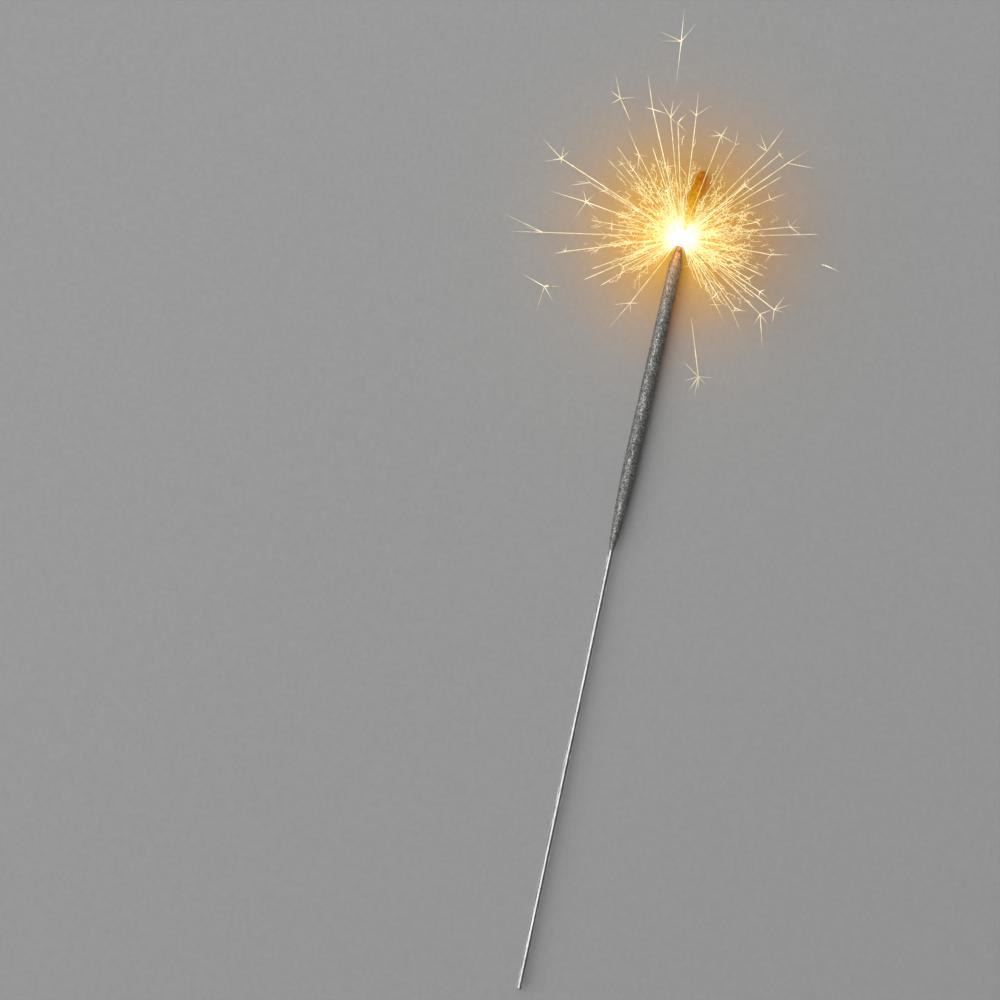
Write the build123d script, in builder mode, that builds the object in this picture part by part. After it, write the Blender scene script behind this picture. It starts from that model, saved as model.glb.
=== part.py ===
from build123d import *

import math
import os

# Sparkler, lit: a steel wire dipped three times in spark composition, burning near its upper end.
# Millimetres and degrees. The origin is the centre of the wire's lower end, +Z runs up the bare
# handle, and -Y faces the viewer. The stick bows a little to +X, and more where it has burnt.

# Stick
overall_length = 254.0  # wire end to spent tip
handle_length = 135.6  # bare wire below the coat
burnt_length = 21.2  # centre of the fire to the spent tip
coat_lean = 0.8  # coated part, from the handle's line
stub_lean = 6.6  # burnt part, which the heat has softened, from the handle's line

# Wire
wire_diameter = 1.4
wire_end_rounding = 0.4
foot_bend_radius = 40.0
fire_bend_radius = 12.0
tip_cover = 2.0  # slag over the wire's upper end

# Coat
first_dip_thickness = 0.45
second_dip_thickness = 0.55
third_dip_thickness = 0.52
dip_lip = 0.1  # thickness of each dip at its lower edge
dip_step = 1.4  # each dip's lower edge above the one before
run_down = 28.0  # tapered foot of each dip
coat_slimming = 0.16  # how much thinner the coat is at the fire than at its thickest
shoulder_below_fire = 9.0  # where the unburnt end starts to taper into the fire
taper_below_fire = 6.5  # where the taper turns in most
taper_share = 0.8  # share of the coat's radius there
front_below_fire = 2.2  # top of the unburnt end

# Fire and slag
fire_radius = 3.0
crust_radius = 1.75
crust_waist_radius = 1.25  # slag just above the fire
crust_waist_above_fire = 1.0
crust_swell = 7.0  # length over which the slag grows from its waist to its full radius
crust_dome = 5.0  # length of the domed tip

# Sparks
picture_lean = 11.9  # the handle leans this far to the right of the picture's upright
spark_clearance = 0.3  # spark to coat or slag
root_width = 0.1
belly_width = 0.25
belly_share = 0.6  # where along its length a streak is thickest
neck_width = 0.2  # blunt end of a streak that bursts into a star
tip_share = 0.96  # where along its length a plain streak starts to end in a tip
tail_width = 0.03  # a grain that lights late leaves a hair-thin tail
ray_width = 0.22
ray_lift = 24.0  # rays of a star point by turns this far towards and away from the viewer
knot_width = 0.34  # grain at the centre of a star
star_gap = 0.36  # streak's end to its star's centre
root_spacing = 7.0  # least angle between two streaks

# Long sparks towards and away from the viewer, spread evenly
fill_count = 140
golden_angle = 137.508
variation_step = 0.7548  # turns the number of a spark into its repeatable variation
fill_lowest = -0.84  # cosines of the angles to the stick between which the fill lies
fill_highest = 0.93
fill_width = 0.17
coat_wedge = 27.0  # no fill or lace within this angle of the coat, as the picture shows it
stub_wedge = 9.0  # and none within this angle of the slag
fill_flat_reach = 20.0  # shortest reach across the line of sight, and its spread
fill_flat_spread = 9.0
fill_near_reach = 31.0  # shortest reach towards the viewer, and its spread
fill_near_spread = 8.0
fill_far_reach = 40.0  # shortest reach away from the viewer, and its spread
fill_far_spread = 13.0
fill_least_reach = 32.0  # the lace takes the place of shorter sparks
fill_ray_count = 4
fill_ray_length = 1.6
fill_ray_spread = 2.0
fill_ray_opening = 30.0  # angle of a star's first ray to its streak, and the step to the next
fill_ray_step = 17.0

# Lace of short kinked sparks close to the fire, with a twig at each kink
lace_count = 190
lace_spacing = 7.0  # least angle to a streak or to another spark of the lace
lace_width = 0.2
lace_root_width = 0.1
lace_straight = 8.0  # fire's centre to the first kink, and its spread
lace_straight_spread = 8.0
lace_kinks = 3
lace_step = 1.8  # kink to kink, and its spread
lace_step_spread = 1.2
lace_swing = 0.55  # kinks off the spark's line
lace_thinning = 0.2  # share of its width that a spark loses at each kink
lace_fork = 0.2  # length of a twig's root
twig_length = 1.3
twig_spread = 0.9
twig_opening = 48.0

# Each spark that stands out: clock angle about the fire in the picture, tilt towards the viewer,
# distance of its star or tip across the line of sight, and the star's rays as clock angle and length.
# A late spark has the length that it burns over before its rays.
plain_sparks = [
    (-125, 8, 19.0),
    (-121, 22, 29.0),
    (-113.5, 5, 32.5),
    (-110, 30, 29.3),
    (-80, 25, 28.1),
    (-44, 14, 32.9),
    (-35.6, 3, 33.9),
    (-19, 32, 28.2),
    (59, 26, 34.6),
    (88.8, 5, 41.6),
    (112, 10, 25.2),
    (116, 20, 27.3),
    (130, 6, 28.6),
    (155, 36, 19.7),
    (159, 12, 16.9),
]
star_sparks = [
    (-142, 30, 25.6, [(-139, 10.8), (-95, 5.4), (92, 2.7), (180, 3.7)]),
    (-96, 12, 24.8, [(-149, 3.2), (18, 1.7), (-60, 2.4)]),
    (-97.5, 21, 35.5, [(-101, 3.9), (-55, 1.5), (3, 2.4)]),
    (-88, 4, 42.1, [(-65, 13.1), (-87.5, 10.3), (-73, 6.0)]),
    (-70, 10, 30.8, [(-74, 12.0), (-144, 5.9), (47, 4.3), (-13, 4.0), (131, 4.2)]),
    (-60, 20, 32.2, [(-98, 6.7), (-84, 4.2), (-40, 2.0)]),
    (-57, 6, 43.4, [(-44, 8.2), (-98, 5.4), (10, 4.1), (43, 3.8), (-174, 1.8)]),
    (-28, 18, 27.7, [(-24, 10.0), (97, 3.0), (-70, 2.0), (-174, 5.9)]),
    (-16, 10, 23.4, [(-60, 2.5), (50, 2.0), (100, 2.2)]),
    (-13.4, 22, 39.1, [(-8.6, 11.0), (-76, 2.7), (109, 5.6)]),
    (-5.5, 8, 36.2, [(8, 5.6), (35, 6.8), (-33, 7.0), (135, 3.0)]),
    (-2.6, 28, 33.9, [(34, 2.8), (44, 4.1), (139, 4.3)]),
    (6, 36, 35.9, [(5, 7.9), (56, 5.9), (-49, 3.2)]),
    (21, 22, 32.4, [(-94, 4.6), (34, 3.8), (-57, 2.7), (54, 2.2), (171, 3.0), (119, 4.7)]),
    (30, 12, 32.0, [(10, 4.8), (70, 1.6)]),
    (44.7, 4, 36.5, [(37, 8.8), (-20, 6.4), (-55, 4.6)]),
    (49.8, 15, 38.2, [(-11, 1.7), (73, 1.2), (138, 2.2)]),
    (55, 5, 38.9, [(58, 8.5), (100, 9.5)]),
    (67, 12, 28.8, [(70, 5.4), (-13, 2.2), (110, 2.0)]),
    (85, 18, 32.5, [(-18, 2.6), (41, 3.5), (95, 3.5), (125, 6.0)]),
    (102, 26, 27.1, [(91, 5.6), (-140, 3.0), (60, 1.5)]),
    (129, 25, 35.3, [(38, 4.9), (73, 6.0), (-57, 2.9), (105, 3.3), (-171, 4.4)]),
    (135, 15, 33.1, [(177, 10.6), (-151, 4.0), (143, 4.4), (69, 4.3)]),
    (146, 9, 26.7, [(158, 7.0), (92, 5.1)]),
    (154, 21, 22.9, [(155, 6.0), (90, 2.2), (-90, 2.2)]),
]
late_sparks = [
    (-110, 16, 44.3, 1.0, [(-61, 8.4), (-162, 7.7), (151, 5.9), (88, 4.8)]),
    (-24, 5, 45.8, 7.0, [(-12, 8.0), (-50, 4.3), (87, 4.6), (-119, 3.4)]),
    (-0.5, 15, 58.5, 1.0, [(5, 10.2), (-64, 7.4), (41, 7.2), (-88, 6.3), (-173, 13.6)]),
    (101.5, 12, 44.0, 1.0, [(115, 4.7)]),
    (
        174,
        28,
        42.7,
        18.0,
        [(-45, 6.7), (94, 5.1), (-106, 4.4), (-146, 5.3), (-168, 6.1), (180, 3.8), (137, 3.9)],
    ),
]

# Worked out from the sizes above
wire_radius = wire_diameter / 2
fire_height = overall_length - burnt_length - handle_length  # along the coat, from its foot
coat_axis = Vector(math.sin(math.radians(coat_lean)), 0, math.cos(math.radians(coat_lean)))
stub_axis = Vector(math.sin(math.radians(stub_lean)), 0, math.cos(math.radians(stub_lean)))
coat_foot = Vector(0, 0, handle_length)
fire_centre = coat_foot + coat_axis * fire_height
wire_top = fire_centre + stub_axis * (burnt_length - tip_cover)
first_dip_radius = wire_radius + first_dip_thickness
second_dip_radius = first_dip_radius + second_dip_thickness
coat_radius = second_dip_radius + third_dip_thickness
first_foot = 0.0  # lower edges of the dips, along the coat from its foot
second_foot = first_foot + dip_step
third_foot = second_foot + dip_step
taper_slope = (coat_radius - wire_radius) / (shoulder_below_fire - front_below_fire)
taper_foot = wire_radius - taper_slope * front_below_fire  # radius of the taper's cone at the fire's centre


def section_plane(origin, lean):
    """Plane through the stick's axis, for outlines of radius and height along a leaning part of it."""
    angle = math.radians(lean)
    return Plane(origin, x_dir=(math.cos(angle), 0, -math.sin(angle)), z_dir=(0, -1, 0))


# Wire
with BuildPart() as core_wire:
    with BuildLine():
        bends = (foot_bend_radius, fire_bend_radius)
        FilletPolyline((0, 0, 0), coat_foot, fire_centre, wire_top, radius=bends)
    with BuildSketch(Plane.XY):
        Circle(wire_radius)
    sweep()
    fillet(core_wire.edges().sort_by(Axis.Z)[0], wire_end_rounding)
core_wire.part.label = "core_wire"


# Dipped coats: each form is the stick once that dip has dried, solid to its axis
def foot_radius(height, foot, start_radius, full_radius):
    """Radius of a dip's run-down foot, a parabola that is upright where it meets the full radius."""
    return full_radius - (full_radius - start_radius) * (1 - (height - foot) / run_down) ** 2


def dip_form(foot, start_radius, full_radius):
    """Solid form of one dip, whose unburnt end tapers into the fire."""
    end_radius = full_radius - coat_slimming
    taper_radius = max(wire_radius, taper_share * end_radius)
    shoulder = fire_height - shoulder_below_fire
    taper = fire_height - taper_below_fire
    front = fire_height - front_below_fire
    with BuildPart() as form:
        with BuildSketch(section_plane(coat_foot, coat_lean)):
            with BuildLine():
                Bezier(
                    (start_radius, foot),
                    (full_radius, foot + run_down / 2),
                    (full_radius, foot + run_down),
                )
                Line((full_radius, foot + run_down), (end_radius, shoulder))
                Bezier((end_radius, shoulder), (taper_radius, taper), (wire_radius, front))
                Polyline((wire_radius, front), (0, front), (0, foot), (start_radius, foot))
            make_face()
        revolve(axis=Axis(coat_foot, coat_axis))
    return form.part


first_start = wire_radius + dip_lip
second_start = foot_radius(second_foot, first_foot, first_start, first_dip_radius) + dip_lip
third_start = foot_radius(third_foot, second_foot, second_start, second_dip_radius) + dip_lip
first_form = dip_form(first_foot, first_start, first_dip_radius)
second_form = dip_form(second_foot, second_start, second_dip_radius)
coat_form = dip_form(third_foot, third_start, coat_radius)

with BuildPart() as first_dip_coat:
    add(first_form)
    add(core_wire.part, mode=Mode.SUBTRACT)
first_dip_coat.part.label = "first_dip_coat"

with BuildPart() as second_dip_coat:
    add(second_form)
    add(first_form, mode=Mode.SUBTRACT)
    add(core_wire.part, mode=Mode.SUBTRACT)
second_dip_coat.part.label = "second_dip_coat"

with BuildPart() as third_dip_coat:
    add(coat_form)
    add(second_form, mode=Mode.SUBTRACT)
    add(first_form, mode=Mode.SUBTRACT)
    add(core_wire.part, mode=Mode.SUBTRACT)
third_dip_coat.part.label = "third_dip_coat"


# Slag on the burnt part of the wire, up to the domed tip
crust_foot = crust_waist_above_fire
crust_full = crust_foot + crust_swell
dome_foot = burnt_length - crust_dome
with BuildPart() as spent_crust:
    with BuildSketch(section_plane(fire_centre, stub_lean)):
        with BuildLine():
            Bezier(
                (crust_waist_radius, crust_foot),
                (crust_radius, crust_foot + crust_swell / 2),
                (crust_radius, crust_full),
            )
            Line((crust_radius, crust_full), (crust_radius, dome_foot))
            Bezier((crust_radius, dome_foot), (crust_radius, burnt_length), (0, burnt_length))
            Polyline((0, burnt_length), (0, crust_foot), (crust_waist_radius, crust_foot))
        make_face()
    revolve(axis=Axis(fire_centre, stub_axis))
    add(core_wire.part, mode=Mode.SUBTRACT)
spent_crust.part.label = "spent_crust"


# Fire: a bead round the wire, seated on the unburnt end and under the slag
with BuildPart() as burn_front:
    with Locations(fire_centre):
        Sphere(fire_radius)
    add(coat_form, mode=Mode.SUBTRACT)
    add(spent_crust.part, mode=Mode.SUBTRACT)
    add(core_wire.part, mode=Mode.SUBTRACT)
burn_front.part.label = "burn_front"


# Sparks
def picture_direction(clock, tilt):
    """Unit direction at a clock angle in the picture, tilted towards the viewer."""
    angle = math.radians(clock - picture_lean)
    lift = math.radians(tilt)
    return Vector(
        math.sin(angle) * math.cos(lift),
        -math.sin(lift),
        math.cos(angle) * math.cos(lift),
    )


def stretch(tilt):
    """Real length per length across the line of sight, for a spark tilted towards the viewer."""
    return 1 / math.cos(math.radians(tilt))


def clear_start(direction):
    """Distance from the fire's centre at which a spark clears the fire, the coat and the slag."""
    down = -direction.dot(coat_axis)
    if down < 0:
        return max(fire_radius, (crust_radius + spark_clearance) / direction.cross(stub_axis).length)
    aside = direction.cross(coat_axis).length
    return max(fire_radius, (taper_foot + spark_clearance) / (aside - taper_slope * down))


def needle(start, direction, length, sections):
    """Four-sided needle through sections given as share of the length and width, where 0 is a sharp tip."""
    corners = []
    for share, width in sections:
        if width == 0:
            corners.append(start + direction * (length * share))
            continue
        across = Plane(start + direction * (length * share), z_dir=direction)
        half = width / 2
        corners += [across.from_local_coords((x, y)) for x in (-half, half) for y in (-half, half)]
    with BuildPart() as strand:
        ConvexPolyhedron(corners)
    return strand.part


def streak(direction, reach, sections):
    """Trail of one grain, from the fire out to its reach."""
    start = clear_start(direction)
    return needle(fire_centre + direction * start, direction, reach - start, [(0, root_width)] + sections)


def late_streak(direction, reach, late_length):
    """Trail of a grain that lights late: a hair-thin tail, then a short streak."""
    start = clear_start(direction)
    lit = reach - late_length
    tail = [(0, tail_width), (1, tail_width)]
    burn = [(0, tail_width)] + blunt_end
    with BuildPart() as trail:
        add(needle(fire_centre + direction * start, direction, lit - start, tail))
        add(needle(fire_centre + direction * lit, direction, late_length, burn))
    return trail.part


def side_outline(lower, upper, corner):
    """Corners of one side of a trail, between two sections of it."""
    following = (corner + 1) % 3
    return [lower[corner], lower[following], upper[following], upper[corner]]


def spike_outlines(base, tip):
    """Corners of the sides of a spike that stands on a base."""
    return [[first, second, tip] for first, second in zip(base, base[1:] + base[:1])]


def lace_spark(direction, variation):
    """Kinked trail of a fine grain with a twig at each kink, as one closed skin of flat faces."""
    around = Plane((0, 0, 0), z_dir=direction)
    turns = [math.radians(120 * corner + 360 * variation) for corner in range(3)]
    sides = [around.x_dir * math.cos(turn) + around.y_dir * math.sin(turn) for turn in turns]
    twig = twig_length + twig_spread * (1 - variation)
    twig_rise = direction * (twig * math.cos(math.radians(twig_opening)))
    twig_reach = twig * math.sin(math.radians(twig_opening))
    step = lace_step + lace_step_spread * variation
    along = lace_straight + lace_straight_spread * variation
    root = fire_centre + direction * clear_start(direction)
    lower = [root + side * (lace_root_width / 2) for side in sides]
    outlines = [lower]
    for kink in range(lace_kinks):
        centre = fire_centre + direction * along + sides[kink % 3] * lace_swing
        half = lace_width * (1 - lace_thinning * kink) / 2
        fork = [centre + side * half for side in sides]
        upper = [corner + direction * lace_fork for corner in fork]
        outlines += [side_outline(lower, fork, corner) for corner in range(3)]
        tip = centre + twig_rise - sides[(kink + 2) % 3] * twig_reach
        outlines += spike_outlines(side_outline(fork, upper, kink % 3), tip)
        outlines += [side_outline(fork, upper, corner) for corner in range(3) if corner != kink % 3]
        lower = upper
        along += step
    tip = fire_centre + direction * along - sides[lace_kinks % 3] * lace_swing
    outlines += spike_outlines(lower, tip)
    faces = [Face(Wire.make_polygon(outline)) for outline in outlines]
    with BuildPart() as trail:
        add(Solid(Shell(faces)))
    return trail.part


def star(centre, rays):
    """Burst of needles from a small knot, for rays given as direction and length."""
    needles = [needle(centre, way, length, [(0, ray_width), (1, 0)]) for way, length in rays]
    with BuildPart() as burst:
        with Locations(centre):
            Box(knot_width, knot_width, knot_width)
        add(needles)
    return burst.part


def picture_rays(rays):
    """Directions and real lengths of a star's rays, by turns towards and away from the viewer."""
    lifts = [ray_lift if number % 2 == 0 else -ray_lift for number in range(len(rays))]
    return [
        (picture_direction(clock, lift), length * stretch(lift))
        for (clock, length), lift in zip(rays, lifts)
    ]


def fill_rays(direction, variation):
    """Directions and lengths of the rays of a star at the end of a spark of the fill."""
    around = Plane((0, 0, 0), z_dir=direction)
    rays = []
    for number in range(fill_ray_count):
        turn = math.radians(golden_angle * number + 360 * variation)
        opening = math.radians(fill_ray_opening + fill_ray_step * number)
        side = around.x_dir * math.cos(turn) + around.y_dir * math.sin(turn)
        way = direction * math.cos(opening) + side * math.sin(opening)
        share = (number * variation_step + variation) % 1
        rays.append((way, fill_ray_length + fill_ray_spread * share))
    return rays


def spread_direction(number, count):
    """Direction with a number, of a count spread evenly round the fire."""
    rise = 1 - 2 * (number + 0.5) / count
    turn = math.radians(golden_angle * number)
    flat = math.sqrt(1 - rise**2)
    return Vector(flat * math.cos(turn), flat * math.sin(turn), rise)


def has_room(direction, taken, spacing):
    """True where a direction keeps off those taken, and off the stick as the picture shows it."""
    seen = Vector(direction.X, 0, direction.Z)
    over_stick = seen.get_angle(-coat_axis) < coat_wedge or seen.get_angle(stub_axis) < stub_wedge
    crowded = any(direction.get_angle(other) < spacing for other in taken)
    return fill_lowest < direction.Z < fill_highest and not crowded and not over_stick


pointed_end = [(belly_share, belly_width), (tip_share, neck_width), (1, 0)]
blunt_end = [(belly_share, belly_width), (1, neck_width)]
taken = []
streaks = []
stars = []
laces = []

for clock, tilt, distance in plain_sparks:
    direction = picture_direction(clock, tilt)
    taken.append(direction)
    streaks.append(streak(direction, distance * stretch(tilt), pointed_end))

for clock, tilt, distance, rays in star_sparks:
    direction = picture_direction(clock, tilt)
    reach = distance * stretch(tilt)
    taken.append(direction)
    streaks.append(streak(direction, reach - star_gap, blunt_end))
    stars.append(star(fire_centre + direction * reach, picture_rays(rays)))

for clock, tilt, distance, late_length, rays in late_sparks:
    direction = picture_direction(clock, tilt)
    reach = distance * stretch(tilt)
    taken.append(direction)
    streaks.append(late_streak(direction, reach - star_gap, late_length * stretch(tilt)))
    stars.append(star(fire_centre + direction * reach, picture_rays(rays)))

for number in range(fill_count):
    direction = spread_direction(number, fill_count)
    variation = number * variation_step % 1
    flat_reach = fill_flat_reach + fill_flat_spread * variation
    near_reach = fill_near_reach + fill_near_spread * variation
    far_reach = fill_far_reach + fill_far_spread * variation
    deep_reach = near_reach if direction.Y < 0 else far_reach
    reach = min(deep_reach, flat_reach / math.hypot(direction.X, direction.Z))
    if reach > fill_least_reach and has_room(direction, taken, root_spacing):
        taken.append(direction)
        streaks.append(streak(direction, reach - star_gap, [(1, fill_width)]))
        stars.append(star(fire_centre + direction * reach, fill_rays(direction, variation)))

for number in range(lace_count):
    direction = spread_direction(number, lace_count)
    if has_room(direction, taken, lace_spacing):
        taken.append(direction)
        laces.append(lace_spark(direction, number * variation_step % 1))

with BuildPart() as spark_streaks:
    add(streaks)
spark_streaks.part.label = "spark_streaks"

with BuildPart() as spark_stars:
    add(stars)
spark_stars.part.label = "spark_stars"

with BuildPart() as spark_lace:
    add(laces)
spark_lace.part.label = "spark_lace"


os.makedirs("parts", exist_ok=True)
export_step(core_wire.part, "parts/core_wire.step")
export_step(first_dip_coat.part, "parts/first_dip_coat.step")
export_step(second_dip_coat.part, "parts/second_dip_coat.step")
export_step(third_dip_coat.part, "parts/third_dip_coat.step")
export_step(spent_crust.part, "parts/spent_crust.step")
export_step(burn_front.part, "parts/burn_front.step")
export_step(spark_streaks.part, "parts/spark_streaks.step")
export_step(spark_stars.part, "parts/spark_stars.step")
export_step(spark_lace.part, "parts/spark_lace.step")
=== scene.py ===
import math
import random

import bmesh
import bpy
from mathutils import Matrix, Vector, noise


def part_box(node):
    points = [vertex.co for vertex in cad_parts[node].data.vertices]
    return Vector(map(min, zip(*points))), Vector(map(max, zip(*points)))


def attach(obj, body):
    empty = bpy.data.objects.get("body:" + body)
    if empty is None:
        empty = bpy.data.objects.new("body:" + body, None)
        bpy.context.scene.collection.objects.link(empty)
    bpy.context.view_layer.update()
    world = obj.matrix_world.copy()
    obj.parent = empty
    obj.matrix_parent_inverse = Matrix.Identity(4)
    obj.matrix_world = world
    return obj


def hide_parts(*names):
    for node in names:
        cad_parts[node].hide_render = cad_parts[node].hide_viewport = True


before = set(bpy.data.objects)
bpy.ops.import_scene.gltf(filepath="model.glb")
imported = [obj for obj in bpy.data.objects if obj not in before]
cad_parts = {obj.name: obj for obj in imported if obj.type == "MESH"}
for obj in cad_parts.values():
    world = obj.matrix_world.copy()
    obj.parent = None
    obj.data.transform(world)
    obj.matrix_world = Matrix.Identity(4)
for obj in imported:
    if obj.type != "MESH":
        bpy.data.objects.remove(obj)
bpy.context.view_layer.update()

# A lit sparkler: bare steel wire, grainy grey coat, white-hot burn front, slag tip and sparks.
# Metres. The origin is the wire's lower end, +Z runs up the handle and -Y faces the viewer.

MM = 0.001


def half_depth(node):
    """Radius of a round node, read from the frame along the line of sight."""
    low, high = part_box(node)
    return (high.y - low.y) / 2


# Stick
HANDLE_LENGTH = 135.6 * MM
COAT_LEAN = math.radians(0.8)  # coated part, from the handle's line
STUB_LEAN = math.radians(6.6)  # burnt part, from the handle's line
FIRE_HEIGHT = 97.2 * MM  # along the coat, from its foot
BURNT_LENGTH = 21.2 * MM
WIRE_RADIUS = half_depth("core_wire")
COAT_RADIUS = half_depth("third_dip_coat")
CRUST_RADIUS = half_depth("spent_crust")
FIRE_RADIUS = half_depth("burn_front")

COAT_FOOT = Vector((0, 0, HANDLE_LENGTH))
COAT_AXIS = Vector((math.sin(COAT_LEAN), 0, math.cos(COAT_LEAN)))
STUB_AXIS = Vector((math.sin(STUB_LEAN), 0, math.cos(STUB_LEAN)))
FIRE = COAT_FOOT + COAT_AXIS * FIRE_HEIGHT
MERGE_DISTANCE = 0.002 * MM  # closes the seams and poles of a turned shape

# Outer coat, by height along the coat from its foot
COAT_START = 2.8 * MM
COAT_START_RADIUS = 1.11 * MM
RUN_DOWN = 28.0 * MM  # tapered foot
COAT_FULL = COAT_START + RUN_DOWN
SHOULDER = FIRE_HEIGHT - 9.0 * MM  # start of the taper into the fire
SHOULDER_RADIUS = COAT_RADIUS - 0.16 * MM
TAPER = FIRE_HEIGHT - 6.5 * MM
TAPER_RADIUS = 0.8 * SHOULDER_RADIUS
FRONT = FIRE_HEIGHT - 2.2 * MM
COAT_STEP = 0.17 * MM  # mesh of the grainy surface
GRAIN_SIZE = 0.42 * MM
GRAIN_HEIGHT = 0.1 * MM
GRAIN_LEAST = 0.4  # lowest grain, as a share of the highest
GRAIN_SCATTER = 9.7  # scale at which the grains' places are turned into their heights
GRAIN_CROWN = 0.9  # at a grain's centre, and its fall towards the edge, as shares of the grain's height
GRAIN_FALL = 1.3
COAT_SINK = 0.25  # lowers the whole surface, as a share of the grains' height
SWELL_SIZE = 4 * MM  # slow rise and fall of the surface
SWELL_SHARE = 0.4  # and its share of the grains' height
BORE_MARGIN = 1.05  # no grains up to this many wire radii from the axis

# Metal filings on the coat
FILING_COUNT = 1100
FILING_SEED = 11
FILING_START = COAT_START + 1 * MM
FILING_SIZES = (0.07 * MM, 0.13 * MM)
FILING_LENGTHENING = (0.7, 1.8)
FILING_WIDENING = (0.7, 1.2)
FILING_TOP = 0.55  # narrow end and depth of a filing, as shares of its size
FILING_DEPTH = 1.4

# Slag, by height along the burnt part from the fire
CRUST_FOOT = 1.0 * MM
CRUST_WAIST_RADIUS = 1.25 * MM
CRUST_FULL = 8.0 * MM
DOME_FOOT = 16.2 * MM
CRUST_STEP = 0.2 * MM
LUMP_SIZE = 1.3 * MM
LUMP_HEIGHT = 0.12 * MM
LUMP_SMOOTHNESS = 0.8
LUMP_SCALES = 4  # sizes of lumps, each half the one before
PORE_SIZE = 0.75 * MM
PORE_DEPTH = 0.22 * MM
PORE_SHARE = 0.45  # share of its cell that a pore takes up
CRUST_SINK = 0.04 * MM  # lowers the whole surface

# Molten bead
BLISTER_SIZE = 1.1 * MM
BLISTER_HEIGHT = 0.5 * MM
BEAD_SINK = 0.7  # lowers the bead's surface by this share of a blister's height

# Sparks: no fine threads within these angles of the coat, near the fire and further out, and of the slag
COAT_WEDGE = math.radians(26)
FORK_WEDGE = math.radians(34)
OUTER_WEDGE = math.radians(52)
STUB_WEDGE = math.radians(9)
THREAD_VARIATION = (0.7, 1.3)  # width from thread to thread
THREAD_THINNING = 0.5  # share of its width that a thread loses up to its last kink
BRANCH_LENGTHS = (0.5 * MM, 1.8 * MM)
BRANCH_WIDTH = 0.8  # share of the thread's width
BRANCH_FOLLOWING = (-0.2, 1.0)  # how far a branch keeps its thread's direction
TWIG_LENGTHS = (0.8 * MM, 2.5 * MM)  # last stretch of a thread
TWIG_WIDTH = 0.5  # share of the thread's width

# Heat: distance from the fire at the end of each ramp
GLOW_REACH = 60 * MM
# reach of the fire's warm light painted on the coat as a brown tint
PAINTED_FIRELIGHT_REACH = 24 * MM
SLAG_HEAT_REACH = 20 * MM
FLICKER_SIZE = 2.2 * MM  # bright and dim stretches along a spark
UNLIKE_SCALE = 11  # fineness of the bright and dim directions round the fire

# Sparks whose grain lights late: clock angle about the fire in the picture and tilt towards the viewer, in
# degrees, and how far from the fire it lights, in millimetres across the line of sight
LATE_SPARKS = [(-110, 16, 42.95), (-24, 5, 38.45), (-0.5, 15, 57.15), (101.5, 12, 42.65), (174, 28, 24.4)]
TAIL_WEDGE = math.radians(1)
TAIL_GLOW = 0.2  # share of the glow on a tail that isn't lit yet

# Picture: where the wire's lower end shows, and how much one pixel of 1000 covers there
PICTURE_SIZE = 1000
WIRE_END_PIXEL = (518.7, 989.5)
PIXEL = 0.3025 * MM
PICTURE_LEAN = math.radians(11.9)
PICTURE_RIGHT = Vector((math.cos(PICTURE_LEAN), 0, math.sin(PICTURE_LEAN)))
PICTURE_UP = Vector((-math.sin(PICTURE_LEAN), 0, math.cos(PICTURE_LEAN)))
AWAY = Vector((0, 1, 0))
LENS = 300.0  # millimetres, on a 36 millimetre sensor
SENSOR = 36.0

# Table
TABLE_DEPTH = COAT_RADIUS + 0.25 * MM  # the stick lies on the table
TABLE_SIZE = 1.6
# The fire's glow on the table is painted into the table's colour and emission.
TABLE_PAINTED_GLOW_RISE = 3.5 * MM  # centre of the fire's glow on the table, up the picture from the fire
FADE_LENGTH = 600 * MM  # over which the table fades to its lowest level
FADE_START = 0.6  # share of the fade at the origin
FADE_LEVEL = 0.85

# Lamps
WHITE = (1, 1, 1)
SUN_SLANT = math.radians(40)
SUN_DROP = math.radians(12)
SUN_SPREAD = math.radians(80)
SKY_LEVEL = 0.2  # share of the table's light that comes from all round
FRONT_LEVEL = 0.04  # and from a small lamp by the viewer
FRONT_SPREAD = math.radians(8)
BACK_STRENGTH = 2.4
BACK_SPREAD = math.radians(20)
FIRE_POWER = 0.01  # watts, of each of two lamps in front of the fire
FIRE_COLOUR = (1, 0.62, 0.2)
FIRE_LAMP_RADIUS = 3 * MM
FIRE_LAMP_NEARER = 7 * MM
FIRE_LAMP_ASIDE = 5 * MM


def picture_direction(clock, tilt):
    """Unit direction at a clock angle in the picture, tilted towards the viewer."""
    flat = PICTURE_RIGHT * math.sin(clock) + PICTURE_UP * math.cos(clock)
    return flat * math.cos(tilt) - AWAY * math.sin(tilt)


# Shader nodes
class Value:
    """An output of a finish's nodes. Arithmetic on it adds Math nodes."""

    def __init__(self, finish, socket):
        self.finish = finish
        self.socket = socket

    def math(self, operation, *terms):
        return self.finish.node("ShaderNodeMath", {"operation": operation}, dict(enumerate(terms)))

    def __add__(self, other):
        return self.math("ADD", self, other)

    def __radd__(self, other):
        return self.math("ADD", other, self)

    def __sub__(self, other):
        return self.math("SUBTRACT", self, other)

    def __rsub__(self, other):
        return self.math("SUBTRACT", other, self)

    def __mul__(self, other):
        return self.math("MULTIPLY", self, other)

    def __rmul__(self, other):
        return self.math("MULTIPLY", other, self)

    def __truediv__(self, other):
        return self.math("DIVIDE", self, other)

    def __gt__(self, other):
        return self.math("GREATER_THAN", self, other)

    def __lt__(self, other):
        return self.math("LESS_THAN", self, other)


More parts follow.
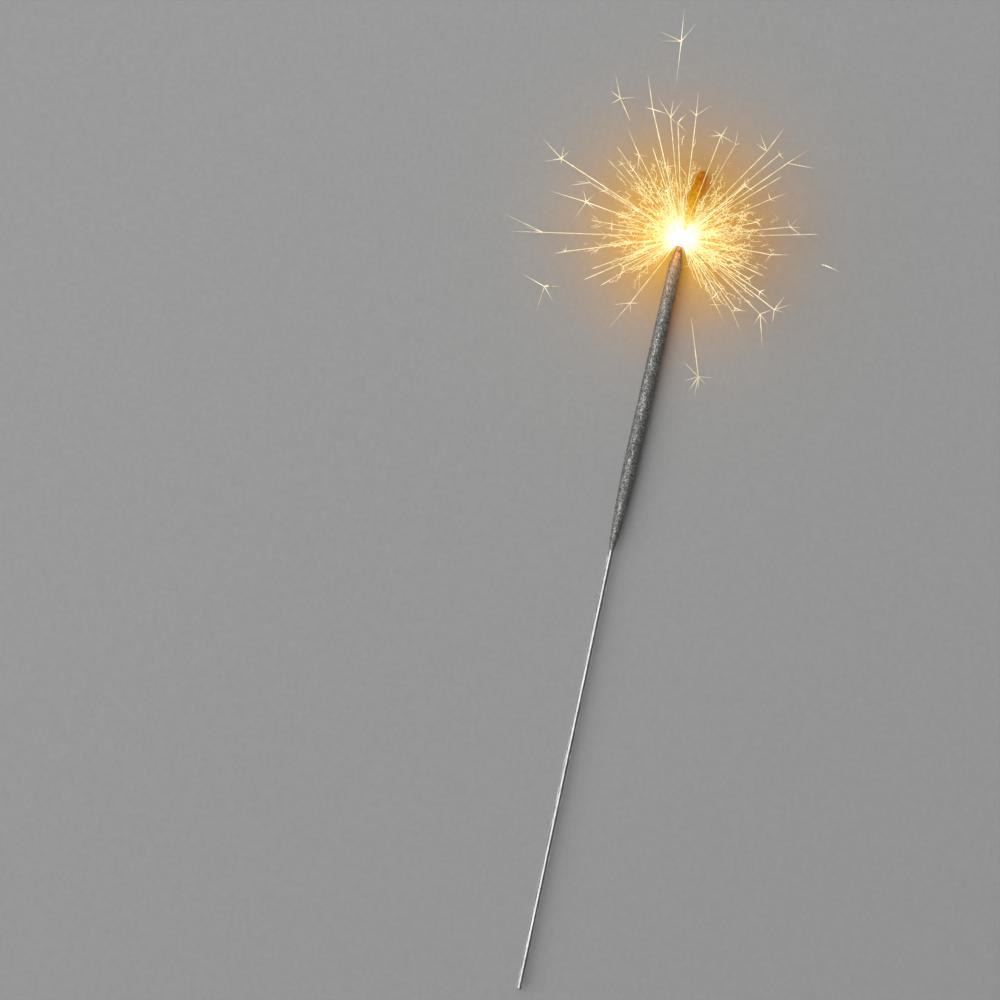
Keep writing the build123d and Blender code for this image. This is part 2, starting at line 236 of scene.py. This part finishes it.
class Finish:
    """A procedural material made of nodes."""

    def __init__(self, name):
        self.material = bpy.data.materials.new(name)
        self.material.use_nodes = True
        self.tree = self.material.node_tree
        self.tree.nodes.clear()
        self.place = self.node("ShaderNodeTexCoord", {}, {}, "Object")

    def node(self, kind, settings, sockets, output=0):
        """Adds a node: its settings first, then the values or links of its sockets."""
        made = self.tree.nodes.new(kind)
        for name, value in settings.items():
            if name == "stops":
                self.set_stops(made.color_ramp, value)
            else:
                setattr(made, name, value)
        for name, value in sockets.items():
            self.feed(made.inputs[name], value)
        return Value(self, made.outputs[output])

    def feed(self, socket, value):
        if isinstance(value, Value):
            self.tree.links.new(value.socket, socket)
        else:
            socket.default_value = value

    def set_stops(self, ramp, stops):
        while len(ramp.elements) < len(stops):
            ramp.elements.new(1.0)
        for element, (position, colour) in zip(ramp.elements, stops):
            element.position = position
            element.color = (*colour, 1)

    def ramp(self, factor, stops):
        """Colour along a ramp of (position, colour)."""
        return self.node("ShaderNodeValToRGB", {"stops": stops}, {"Fac": factor})

    def level(self, factor, stops):
        """Number along a ramp of (position, number)."""
        return self.ramp(factor, [(position, (number,) * 3) for position, number in stops])

    def blend(self, factor, first, second, way="MIX"):
        """Mix of two colours."""
        settings = {"data_type": "RGBA", "blend_type": way, "clamp_factor": True}
        return self.node("ShaderNodeMix", settings, {0: factor, 6: first, 7: second}, 2)

    def tinted(self, colour, tint, factor=1.0):
        """Colour multiplied by another colour or by a level."""
        return self.blend(factor, colour, tint, "MULTIPLY")

    def noise(self, size, detail, stretch=(1, 1, 1)):
        """Cloudy noise with features of a size in metres, stretched by axis."""
        scale = tuple(1 / (size * factor) for factor in stretch)
        place = self.node("ShaderNodeMapping", {}, {"Vector": self.place, "Scale": scale})
        return self.node("ShaderNodeTexNoise", {}, {"Vector": place, "Scale": 1, "Detail": detail})

    def cells(self, size, output="Distance"):
        """Grain cells of a size in metres."""
        return self.node("ShaderNodeTexVoronoi", {}, {"Vector": self.place, "Scale": 1 / size}, output)

    def vector(self, operation, *terms, output="Vector"):
        """Vector Math of places and directions."""
        return self.node("ShaderNodeVectorMath", {"operation": operation}, dict(enumerate(terms)), output)

    def distance(self, point):
        """Distance from a point, in metres."""
        return self.vector("DISTANCE", self.place, point, output="Value")

    def fading(self):
        """Light that falls off a little from the picture's upper left to its lower right."""
        along = self.vector("DOT_PRODUCT", self.place, PICTURE_RIGHT - PICTURE_UP, output="Value")
        return self.level(FADE_START + along / FADE_LENGTH, [(0.0, 1.0), (1.0, FADE_LEVEL)])

    def bump(self, height, depth, strength):
        sockets = {"Height": height, "Distance": depth, "Strength": strength}
        return self.node("ShaderNodeBump", {}, sockets)

    def surface(self, sockets):
        """Finishes the material with one surface shader."""
        shader = self.node("ShaderNodeBsdfPrincipled", {}, sockets)
        return self.output(shader)

    def output(self, shader):
        end = self.tree.nodes.new("ShaderNodeOutputMaterial")
        self.feed(end.inputs["Surface"], shader)
        return self.material


# Finishes
def drawn_steel():
    """Bright wire with fine lines along its length."""
    finish = Finish("drawn_steel")
    lines = finish.noise(0.08 * MM, 3, stretch=(1, 1, 160))
    stain = finish.noise(6 * MM, 4)
    return finish.surface({
        "Base Color": finish.ramp(stain, [(0.3, (0.25, 0.25, 0.246)), (0.62, (0.34, 0.34, 0.335))]),
        "Metallic": 1.0,
        "Roughness": 0.1 + 0.14 * lines,
        "Normal": finish.bump(lines, 0.012 * MM, 0.4),
    })


def spark_composition():
    """Dried grey paste with dark and pale grains, with the fire's warm light painted on as a brown tint near
    the fire.
    """
    finish = Finish("spark_composition")
    tone = finish.node("ShaderNodeSeparateColor", {}, {"Color": finish.cells(0.3 * MM, "Color")})
    pepper = finish.ramp(tone, [
        (0.0, (0.022, 0.022, 0.021)),
        (0.25, (0.095, 0.095, 0.092)),
        (0.6, (0.215, 0.215, 0.205)),
        (0.85, (0.34, 0.34, 0.325)),
        (1.0, (0.55, 0.55, 0.52)),
    ])
    dust = finish.noise(0.2 * MM, 3)
    dusty = finish.tinted(pepper, finish.level(dust, [(0.3, 0.25), (0.75, 1.0)]), 0.5)
    cloud = finish.noise(5 * MM, 3)
    patchy = finish.tinted(dusty, finish.level(cloud, [(0.3, 0.6), (0.7, 1.0)]), 0.4)
    away = finish.distance(FIRE) / PAINTED_FIRELIGHT_REACH
    # Painted firelight: the coat's colour turns warm brown near the fire, as the fire's light would make it
    # look.
    painted_firelight_tint = finish.ramp(away, [
        (0.2, (0.35, 0.18, 0.07)),
        (0.36, (0.36, 0.22, 0.12)),
        (0.46, (0.46, 0.305, 0.18)),
        (1.0, (0.5, 0.365, 0.26)),
    ])
    grain = finish.level(tone, [(0.0, 0.15), (0.3, 0.5), (0.85, 0.85), (1.0, 1.0)])
    # Share of the painted firelight tint in the coat's colour, highest near the fire.
    heat = finish.level(away, [(0.2, 0.9), (0.4, 0.7), (0.7, 0.5), (1.0, 0.0)])
    return finish.surface({
        "Base Color": finish.blend(heat, patchy, finish.tinted(painted_firelight_tint, grain)),
        "Metallic": finish.level(tone, [(0.35, 0.0), (0.9, 0.75)]),
        "Roughness": finish.level(tone, [(0.0, 0.75), (0.6, 0.55), (0.95, 0.42)]),
        "Normal": finish.bump(dust, 0.05 * MM, 0.7),
    })


def metal_filings():
    """Bright iron and aluminium grains on the coat."""
    finish = Finish("metal_filings")
    tone = finish.noise(0.5 * MM, 2)
    return finish.surface({
        "Base Color": finish.ramp(tone, [(0.35, (0.16, 0.16, 0.155)), (0.65, (0.5, 0.5, 0.48))]),
        "Metallic": 0.8,
        "Roughness": 0.3 + 0.25 * tone,
    })


def burnt_slag():
    """Porous brown slag, still glowing, most of all near the fire."""
    finish = Finish("burnt_slag")
    crust = finish.noise(0.9 * MM, 4)
    pores = finish.cells(0.6 * MM)
    brown = finish.ramp(crust, [
        (0.3, (0.13, 0.055, 0.003)),
        (0.5, (0.2, 0.09, 0.005)),
        (0.7, (0.28, 0.14, 0.012)),
    ])
    heat = finish.ramp(finish.distance(FIRE) / SLAG_HEAT_REACH, [
        (0.15, (1.0, 0.85, 0.35)),
        (0.38, (0.53, 0.44, 0.07)),
        (0.5, (0.45, 0.27, 0.012)),
        (0.62, (0.4, 0.2, 0.003)),
        (0.8, (0.34, 0.095, 0.001)),
        (0.97, (0.28, 0.055, 0.0)),
    ])
    mottle = finish.level(crust, [(0.35, 0.75), (0.65, 1.0)])
    return finish.surface({
        "Base Color": brown,
        "Roughness": 0.75 + 0.2 * crust,
        "Specular IOR Level": 0.05,
        "Normal": finish.bump(pores, 0.12 * MM, 0.6),
        "Emission Color": finish.tinted(heat, mottle),
        "Emission Strength": 1.1,
    })


def glow(name, stops, strength, flicker=0.35, unlike=0.0, late=()):
    """Burning metal: its glow follows the distance from the fire, and is dim on the tails of late sparks.

    It flickers along a spark, and differs from spark to spark where unlike is set.
    """
    finish = Finish(name)
    away = finish.distance(FIRE)
    heat = finish.ramp(away / GLOW_REACH, stops)
    spots = finish.level(finish.noise(FLICKER_SIZE, 2), [(0.35, 1 - flicker), (0.6, 1.0)])
    way = finish.vector("NORMALIZE", finish.vector("SUBTRACT", finish.place, FIRE))
    by_way = finish.node("ShaderNodeTexNoise", {}, {"Vector": way, "Scale": UNLIKE_SCALE, "Detail": 1})
    each = finish.level(by_way, [(0.38, 1 - unlike), (0.62, 1.0)])
    for clock, tilt, start in late:
        lift = math.radians(tilt)
        tail = picture_direction(math.radians(clock), lift)
        on_line = finish.vector("DOT_PRODUCT", way, tail, output="Value") > math.cos(TAIL_WEDGE)
        unlit = away < start * MM / math.cos(lift)
        each = each * (1 - (1 - TAIL_GLOW) * on_line * unlit)
    finish.material.cycles.emission_sampling = "NONE"
    return finish.surface({
        "Base Color": (0.1, 0.05, 0.01, 1),
        "Roughness": 0.6,
        "Emission Color": finish.tinted(finish.tinted(heat, spots), each),
        "Emission Strength": strength,
    })


def table_paint():
    """Plain grey table with the fire's warm light painted round the fire, as colour and as glow, and clear
    when seen from behind.
    """
    finish = Finish("table_paint")
    fibre = finish.noise(1.5 * MM, 3)
    plain = finish.level(fibre, [(0.3, 0.94), (0.7, 1.0)])
    away = finish.distance(FIRE + AWAY * TABLE_DEPTH + PICTURE_UP * TABLE_PAINTED_GLOW_RISE) / GLOW_REACH
    # Table grey, with the fire's warm light painted into its colour round the fire.
    tint = finish.ramp(away, [
        (0.0, (0.5, 0.4, 0.2)),
        (0.15, (0.42, 0.26, 0.05)),
        (0.25, (0.4, 0.285, 0.095)),
        (0.4, (0.385, 0.307, 0.183)),
        (0.55, (0.365, 0.333, 0.272)),
        (0.75, (0.345, 0.335, 0.32)),
        (1.0, (0.337, 0.337, 0.337)),
    ])
    # Painted glow of the fire's light on the table, added as emission.
    painted_fire_glow = finish.ramp(away, [
        (0.0, (0.5, 0.35, 0.1)),
        (0.15, (0.12, 0.06, 0.0)),
        (0.25, (0.15, 0.045, 0.0)),
        (0.4, (0.11, 0.02, 0.0)),
        (0.55, (0.045, 0.0, 0.0)),
        (0.75, (0.01, 0.0, 0.0)),
        (1.0, (0.0, 0.0, 0.0)),
    ])
    paint = finish.node("ShaderNodeBsdfPrincipled", {}, {
        "Base Color": finish.tinted(finish.tinted(tint, plain), finish.fading()),
        "Roughness": 0.9,
        "Specular IOR Level": 0.0,
        "Normal": finish.bump(fibre, 0.02 * MM, 0.3),
        "Emission Color": painted_fire_glow,
        "Emission Strength": 1.0,
    })
    clear = finish.node("ShaderNodeBsdfTransparent", {}, {})
    behind = finish.node("ShaderNodeNewGeometry", {}, {}, "Backfacing")
    return finish.output(finish.node("ShaderNodeMixShader", {}, {0: behind, 1: paint, 2: clear}))


# Mesh helpers
def piece(name, shape, finish, slot, *nodes):
    """Makes an object of a finished bmesh that rides on the stick, in place of the CAD nodes named."""
    mesh = bpy.data.meshes.new(name)
    shape.to_mesh(mesh)
    shape.free()
    mesh.materials.append(finish)
    made = bpy.data.objects.new(name, mesh)
    bpy.context.scene.collection.objects.link(made)
    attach(made, "root")
    if nodes:
        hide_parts(*nodes)
    return made


def bezier(first, control, last, count):
    """Points of a curve with one control point, without its last point."""
    points = []
    for number in range(count):
        share = number / count
        points.append(tuple(
            (1 - share) ** 2 * a + 2 * share * (1 - share) * b + share**2 * c
            for a, b, c in zip(first, control, last)
        ))
    return points


def straight(first, last, count):
    """Points of a line, without its last point."""
    return [
        tuple(a + (b - a) * number / count for a, b in zip(first, last))
        for number in range(count)
    ]


def smooth(shape):
    for face in shape.faces:
        face.smooth = True
    shape.normal_update()


def spun(outline, origin, axis, count):
    """Closed surface of revolution of an outline of (radius, height) about an axis."""
    across = Vector((axis.z, 0, -axis.x))
    shape = bmesh.new()
    line = [shape.verts.new(origin + across * radius + axis * height) for radius, height in outline]
    edges = [shape.edges.new(pair) for pair in zip(line, line[1:])]
    bmesh.ops.spin(shape, geom=line + edges, cent=origin, axis=axis, dvec=(0, 0, 0),
                   angle=2 * math.pi, steps=count, use_merge=True)
    bmesh.ops.remove_doubles(shape, verts=shape.verts, dist=MERGE_DISTANCE)
    bmesh.ops.recalc_face_normals(shape, faces=shape.faces)
    smooth(shape)
    return shape


def displace(shape, height):
    """Moves each vertex along its normal by a height worked out from its place."""
    moves = [(vertex, vertex.normal * height(vertex.co)) for vertex in shape.verts]
    for vertex, move in moves:
        vertex.co += move
    shape.normal_update()


def steps(length, step):
    return max(2, round(length / step))


# Stick
def grain_height(place):
    """Height of the coat's surface: rounded grains of differing size."""
    distances, points = noise.voronoi(place / GRAIN_SIZE)
    lift = GRAIN_LEAST + (1 - GRAIN_LEAST) * noise.cell(points[0] * GRAIN_SCATTER)
    grain = lift * (GRAIN_CROWN - GRAIN_FALL * distances[0])
    swell = SWELL_SHARE * noise.noise(place / SWELL_SIZE)
    return GRAIN_HEIGHT * (grain - COAT_SINK + swell)


def coat_height(place):
    """Height of the grains on the coat, and none in its bore."""
    radius = (place - COAT_FOOT).cross(COAT_AXIS).length
    return grain_height(place) if radius > WIRE_RADIUS * BORE_MARGIN else 0


def outer_coat(finish):
    outline = [(WIRE_RADIUS, COAT_START)]
    outline += bezier((COAT_START_RADIUS, COAT_START), (COAT_RADIUS, COAT_START + RUN_DOWN / 2),
                      (COAT_RADIUS, COAT_FULL), steps(RUN_DOWN, COAT_STEP))
    outline += straight((COAT_RADIUS, COAT_FULL), (SHOULDER_RADIUS, SHOULDER),
                        steps(SHOULDER - COAT_FULL, COAT_STEP))
    outline += bezier((SHOULDER_RADIUS, SHOULDER), (TAPER_RADIUS, TAPER), (WIRE_RADIUS, FRONT),
                      steps(FRONT - SHOULDER, COAT_STEP))
    outline += [(WIRE_RADIUS, FRONT), (WIRE_RADIUS, COAT_START)]
    shape = spun(outline, COAT_FOOT, COAT_AXIS, steps(2 * math.pi * COAT_RADIUS, COAT_STEP))
    displace(shape, coat_height)
    return piece("outer_coat", shape, finish, "spark_composition", "third_dip_coat")


def coat_radius(height):
    """Radius of the outer coat at a height along it, from its foot to its shoulder."""
    if height < COAT_FULL:
        return COAT_RADIUS - (COAT_RADIUS - COAT_START_RADIUS) * ((COAT_FULL - height) / RUN_DOWN) ** 2
    return COAT_RADIUS + (SHOULDER_RADIUS - COAT_RADIUS) * (height - COAT_FULL) / (SHOULDER - COAT_FULL)


def filings(finish):
    """Metal grains half sunk in the coat."""
    draw = random.Random(FILING_SEED)
    across = Vector((COAT_AXIS.z, 0, -COAT_AXIS.x))
    whole = bmesh.new()
    grain = bpy.data.meshes.new("one_filing")
    for _ in range(FILING_COUNT):
        height = draw.uniform(FILING_START, SHOULDER)
        turn = draw.uniform(0, 2 * math.pi)
        way = across * math.cos(turn) + AWAY * math.sin(turn)
        size = draw.uniform(*FILING_SIZES)
        centre = COAT_FOOT + COAT_AXIS * height + way * coat_radius(height)
        turned = Matrix.Rotation(draw.uniform(0, math.pi), 4, draw_direction(draw))
        stretch = Matrix.Diagonal((draw.uniform(*FILING_LENGTHENING), draw.uniform(*FILING_WIDENING), 1, 1))
        place = Matrix.Translation(centre) @ turned @ stretch
        one = bmesh.new()
        bmesh.ops.create_cone(one, cap_ends=True, segments=5, radius1=size, radius2=size * FILING_TOP,
                              depth=size * FILING_DEPTH, matrix=place)
        one.to_mesh(grain)
        one.free()
        whole.from_mesh(grain)
    bpy.data.meshes.remove(grain)
    return piece("metal_filings", whole, finish, "spark_composition")


def slag_height(place):
    """Height of the slag's surface: lumps with pores between them."""
    lumps = noise.fractal(place / LUMP_SIZE, LUMP_SMOOTHNESS, 2.0, LUMP_SCALES)
    pores = noise.voronoi(place / PORE_SIZE)[0][0]
    return LUMP_HEIGHT * lumps - PORE_DEPTH * max(0, PORE_SHARE - pores) - CRUST_SINK


def slag_tip(finish):
    outline = [(0, CRUST_FOOT)]
    outline += bezier((CRUST_WAIST_RADIUS, CRUST_FOOT), (CRUST_RADIUS, (CRUST_FOOT + CRUST_FULL) / 2),
                      (CRUST_RADIUS, CRUST_FULL), steps(CRUST_FULL - CRUST_FOOT, CRUST_STEP))
    outline += straight((CRUST_RADIUS, CRUST_FULL), (CRUST_RADIUS, DOME_FOOT),
                        steps(DOME_FOOT - CRUST_FULL, CRUST_STEP))
    outline += bezier((CRUST_RADIUS, DOME_FOOT), (CRUST_RADIUS, BURNT_LENGTH), (0, BURNT_LENGTH),
                      steps(BURNT_LENGTH - DOME_FOOT, CRUST_STEP))
    outline += [(0, BURNT_LENGTH)]
    shape = spun(outline, FIRE, STUB_AXIS, steps(2 * math.pi * CRUST_RADIUS, CRUST_STEP))
    displace(shape, slag_height)
    return piece("slag_tip", shape, finish, "slag", "spent_crust")


def bead_height(place):
    return BLISTER_HEIGHT * (noise.noise(place / BLISTER_SIZE) - BEAD_SINK)


def molten_bead(finish):
    shape = bmesh.new()
    bmesh.ops.create_icosphere(shape, subdivisions=5, radius=FIRE_RADIUS, matrix=Matrix.Translation(FIRE))
    smooth(shape)
    displace(shape, bead_height)
    return piece("molten_bead", shape, finish, "white_hot_composition", "burn_front")


# Sparks
def draw_direction(draw):
    """Evenly drawn direction."""
    rise = draw.uniform(-1, 1)
    turn = draw.uniform(0, 2 * math.pi)
    flat = math.sqrt(1 - rise**2)
    return Vector((flat * math.cos(turn), flat * math.sin(turn), rise))


def needle(shape, start, way, length, width, tip=0.0):
    """Three-sided needle, or a length of thread where its tip has a width too. Returns its end."""
    turned = way.to_track_quat("Z", "Y").to_matrix().to_4x4()
    place = Matrix.Translation(start + way * (length / 2)) @ turned
    bmesh.ops.create_cone(shape, cap_ends=True, segments=3, radius1=width / 2, radius2=tip / 2,
                          depth=length, matrix=place)
    return start + way * length


def clear_of_stick(way, wedge):
    """True where a direction from the fire keeps off the coat and the slag, as the picture shows them."""
    seen = Vector((way.x, 0, way.z))
    return seen.angle(-COAT_AXIS) > wedge and seen.angle(STUB_AXIS) > STUB_WEDGE


def forked_thread(shape, draw, start, way, length, width, kinks, kink, branches):
    """Thin trail with side branches at its kinks. It gets thinner, and ends in a needle."""
    point = start
    turned = way
    for number in range(kinks):
        thick = width * (1 - THREAD_THINNING * number / kinks)
        thin = width * (1 - THREAD_THINNING * (number + 1) / kinks)
        point = needle(shape, point, turned, length / kinks, thick, thin)
        for _ in range(branches):
            side = (turned * draw.uniform(*BRANCH_FOLLOWING) + draw_direction(draw)).normalized()
            needle(shape, point, side, draw.uniform(*BRANCH_LENGTHS), width * BRANCH_WIDTH)
        turned = (way + draw_direction(draw) * kink).normalized()
    needle(shape, point, turned, draw.uniform(*TWIG_LENGTHS), width * TWIG_WIDTH)


def spark_threads(name, finish, seed, count, wedge, roots, lengths, width, kinks, kink, branches, nodes=()):
    """Threads round the fire but for the coat's wedge, between two root distances and two lengths."""
    draw = random.Random(seed)
    whole = bmesh.new()
    thread = bpy.data.meshes.new("one_thread")
    made = 0
    while made < count:
        way = draw_direction(draw)
        if not clear_of_stick(way, wedge):
            continue
        made += 1
        one = bmesh.new()
        start = FIRE + way * draw.uniform(*roots)
        length = draw.uniform(*lengths)
        thickness = width * draw.uniform(*THREAD_VARIATION)
        forked_thread(one, draw, start, way, length, thickness, kinks, kink, branches)
        one.to_mesh(thread)
        one.free()
        whole.from_mesh(thread)
    bpy.data.meshes.remove(thread)
    return piece(name, whole, finish, "burning_iron", *nodes)


# Stage
def table_top(finish):
    """Flat table behind the stick, facing the viewer."""
    upright = Matrix.Rotation(math.pi / 2, 4, "X")
    place = Matrix.Translation((0, TABLE_DEPTH, HANDLE_LENGTH)) @ upright
    shape = bmesh.new()
    bmesh.ops.create_grid(shape, x_segments=2, y_segments=2, size=TABLE_SIZE, matrix=place)
    mesh = bpy.data.meshes.new("table_top")
    shape.to_mesh(mesh)
    shape.free()
    mesh.materials.append(finish)
    table = bpy.data.objects.new("table_top", mesh)
    bpy.context.scene.collection.objects.link(table)


def lamp(name, kind, energy, colour, place=(0, 0, 0), travel=AWAY, **settings):
    data = bpy.data.lights.new(name, kind)
    data.energy = energy
    data.color = colour
    for setting, value in settings.items():
        setattr(data, setting, value)
    made = bpy.data.objects.new(name, data)
    made.location = place
    made.rotation_mode = "QUATERNION"
    made.rotation_quaternion = travel.to_track_quat("-Z", "Y")
    made.visible_camera = False
    bpy.context.scene.collection.objects.link(made)
    return made


def studio(coat):
    """Soft light from the upper left, from all round and from behind, where only the coat casts a shadow."""
    sideways = PICTURE_RIGHT * math.cos(SUN_DROP) - PICTURE_UP * math.sin(SUN_DROP)
    travel = sideways * math.sin(SUN_SLANT) + AWAY * math.cos(SUN_SLANT)
    key_energy = math.pi * (1 - SKY_LEVEL - FRONT_LEVEL) / math.cos(SUN_SLANT)
    lamp("key", "SUN", key_energy, WHITE, travel=travel, angle=SUN_SPREAD)
    lamp("front", "SUN", math.pi * FRONT_LEVEL, WHITE, travel=AWAY, angle=FRONT_SPREAD)
    behind = lamp("back_fill", "SUN", BACK_STRENGTH, WHITE, travel=-AWAY, angle=BACK_SPREAD)
    stick_only = bpy.data.collections.new("stick_only")
    stick_only.objects.link(coat)
    behind.light_linking.blocker_collection = stick_only
    for number, side in enumerate((-1, 1)):
        place = FIRE - AWAY * FIRE_LAMP_NEARER + PICTURE_RIGHT * (side * FIRE_LAMP_ASIDE)
        lamp(f"fire_{number}", "POINT", FIRE_POWER, FIRE_COLOUR, place=place,
             shadow_soft_size=FIRE_LAMP_RADIUS)
    world = bpy.data.worlds.new("studio")
    world.use_nodes = True
    sky = (SKY_LEVEL, SKY_LEVEL, SKY_LEVEL, 1)
    world.node_tree.nodes["Background"].inputs["Color"].default_value = sky
    bpy.context.scene.world = world


def camera():
    """Looks straight at the table, with the wire's lower end where the photograph has it."""
    centre = PICTURE_SIZE / 2
    right = (WIRE_END_PIXEL[0] - centre) * PIXEL
    up = (centre - WIRE_END_PIXEL[1]) * PIXEL
    aim = -PICTURE_RIGHT * right - PICTURE_UP * up
    away = PICTURE_SIZE * PIXEL * LENS / SENSOR
    data = bpy.data.cameras.new("camera")
    data.lens = LENS
    data.sensor_width = SENSOR
    made = bpy.data.objects.new("camera", data)
    turn = Matrix((PICTURE_RIGHT, PICTURE_UP, -AWAY)).transposed().to_4x4()
    made.matrix_world = Matrix.Translation(aim - AWAY * away) @ turn
    bpy.context.scene.collection.objects.link(made)
    bpy.context.scene.camera = made


def dress(node, finish):
    """Gives a CAD node its finish."""
    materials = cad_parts[node].data.materials
    materials.clear()
    materials.append(finish)


# Build the stick
composition = spark_composition()
dress("core_wire", drawn_steel())
dress("first_dip_coat", composition)
dress("second_dip_coat", composition)
coat = outer_coat(composition)
filings(metal_filings())
slag_tip(burnt_slag())
molten_bead(glow("white_heat", [(0.0, (1.0, 0.95, 0.82)), (0.06, (1.0, 0.9, 0.68))], 6.0, flicker=0.1))

# Build the sparks
streak_glow = glow("streak_glow", [
    (0.06, (1.0, 0.95, 0.68)),
    (0.16, (1.0, 0.86, 0.42)),
    (0.3, (0.95, 0.79, 0.39)),
    (0.4, (0.93, 0.8, 0.41)),
    (0.5, (1.06, 0.94, 0.58)),
    (1.0, (1.1, 0.98, 0.65)),
], 1.35, unlike=0.4, late=LATE_SPARKS)
dress("spark_streaks", streak_glow)
dress("spark_stars", streak_glow)
core_glow = glow("core_glow", [
    (0.06, (1.0, 0.98, 0.9)),
    (0.09, (1.0, 0.94, 0.64)),
    (0.13, (1.0, 0.84, 0.42)),
    (0.19, (0.94, 0.72, 0.3)),
], 1.4, flicker=0.1)
hair_glow = glow("hair_glow", [
    (0.08, (1.0, 0.92, 0.6)),
    (0.15, (1.0, 0.84, 0.42)),
    (0.3, (0.98, 0.77, 0.36)),
    (0.5, (1.05, 0.85, 0.45)),
], 1.4)
spark_threads(
    "spark_core", core_glow, seed=3, count=2200, wedge=COAT_WEDGE,
    roots=(1.5 * MM, 4.2 * MM), lengths=(0.6 * MM, 3.2 * MM), width=0.1 * MM,
    kinks=1, kink=0.1, branches=0,
)
spark_threads(
    "spark_hair", hair_glow, seed=5, count=220, wedge=COAT_WEDGE,
    roots=(4 * MM, 9 * MM), lengths=(5 * MM, 13 * MM), width=0.1 * MM,
    kinks=2, kink=0.2, branches=0,
)
spark_threads(
    "kinked_sparks", hair_glow, seed=8, count=640, wedge=FORK_WEDGE,
    roots=(6 * MM, 20 * MM), lengths=(4 * MM, 8 * MM), width=0.15 * MM,
    kinks=6, kink=0.9, branches=1, nodes=("spark_lace",),
)
spark_threads(
    "outer_forks", hair_glow, seed=13, count=110, wedge=OUTER_WEDGE,
    roots=(19 * MM, 29 * MM), lengths=(2 * MM, 4 * MM), width=0.13 * MM,
    kinks=4, kink=0.9, branches=1,
)

# Build the stage
table_top(table_paint())
studio(coat)
camera()
bpy.context.scene.view_settings.view_transform = "Standard"
